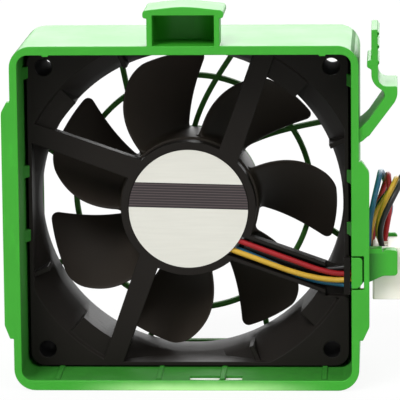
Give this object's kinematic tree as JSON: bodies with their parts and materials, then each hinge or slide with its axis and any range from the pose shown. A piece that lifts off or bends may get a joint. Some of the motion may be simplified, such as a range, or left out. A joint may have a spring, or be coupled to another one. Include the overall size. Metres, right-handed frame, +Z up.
{
  "type": "server fan module",
  "caption": "Hot-swap fan tray: a square moulded carrier with rails, finger pocket and spring latch holds an axial fan, finger guard and blind-mating plug.",
  "frame": {"origin": "centre of the carrier's bottom face, under the fan's axis and half way along the carrier's depth", "axes": "+Z up, +X towards the latch and plug side, -Y towards the open rim that the fan is seen through; the fan's axis runs along Y at z = 42.9 mm"},
  "size_m": [0.0999, 0.043, 0.0954],
  "materials": {
    "green_plastic": "moulded, fine satin",
    "black_plastic": "moulded, satin",
    "blade_plastic": "moulded, smooth",
    "label_film": "satin silver film",
    "yoke_steel": "drawn steel",
    "magnet": "bonded ferrite",
    "brass": "turned",
    "bright_steel": "ground",
    "spring_steel": "plain",
    "core_steel": "laminated sheet",
    "white_nylon": "natural nylon",
    "enamelled_copper": "varnished",
    "circuit_board": "solder mask",
    "chip_black": "moulded epoxy",
    "chip_tan": "ceramic",
    "tinned_brass": "tin plated",
    "wire_red": "soft vinyl",
    "wire_yellow": "soft vinyl",
    "wire_black": "soft vinyl",
    "wire_blue": "soft vinyl"
  },
  "bodies": {
    "carrier": {"carrier_shell": "green_plastic", "finger_guard": "green_plastic", "connector_bracket": "green_plastic", "cable_tab": "green_plastic", "fan_frame": "black_plastic", "label_disc": "label_film", "near_bearing_outer_ring": "bright_steel", "far_bearing_outer_ring": "bright_steel", "stator_core": "core_steel", "label_side_insulator": "white_nylon", "hub_side_insulator": "white_nylon", "stator_windings": "enamelled_copper", "circuit_board": "circuit_board", "hall_sensor": "chip_black", "driver_ic": "chip_black", "chip_capacitors": "chip_tan", "connector_housing": "white_nylon", "connector_terminals": "tinned_brass", "wire_red": "wire_red", "wire_yellow": "wire_yellow", "wire_black": "wire_black", "wire_blue": "wire_blue"},
    "rotor": {"impeller": "blade_plastic", "rotor_yoke": "yoke_steel", "ring_magnet": "magnet", "shaft_bush": "brass", "shaft": "bright_steel", "retaining_ring": "spring_steel", "preload_washers": "spring_steel", "near_bearing_inner_ring": "bright_steel", "far_bearing_inner_ring": "bright_steel"},
    "ball_sets": {"near_bearing_balls": "bright_steel", "near_bearing_cage": "spring_steel", "far_bearing_balls": "bright_steel", "far_bearing_cage": "spring_steel"},
    "latch": {"release_latch": "green_plastic"}
  },
  "joints": [
    {"name": "fan_spin", "type": "hinge", "parent": "carrier", "child": "rotor", "pos_m": [0, 0, 0.0429], "axis": [0, 1, 0], "continuous": true},
    {"name": "ball_orbit", "type": "hinge", "parent": "carrier", "child": "ball_sets", "pos_m": [0, 0, 0.0429], "axis": [0, 1, 0], "continuous": true},
    {"name": "latch_flex", "type": "hinge", "parent": "carrier", "child": "latch", "pos_m": [0.04455, 0, 0.0646], "axis": [0, -1, 0], "range_deg": [0, 6], "stiffness_Nm_per_rad": 1.2}
  ],
  "couplings": [
    {"joint": "ball_orbit", "follows": "fan_spin", "ratio": 0.387}
  ]
}
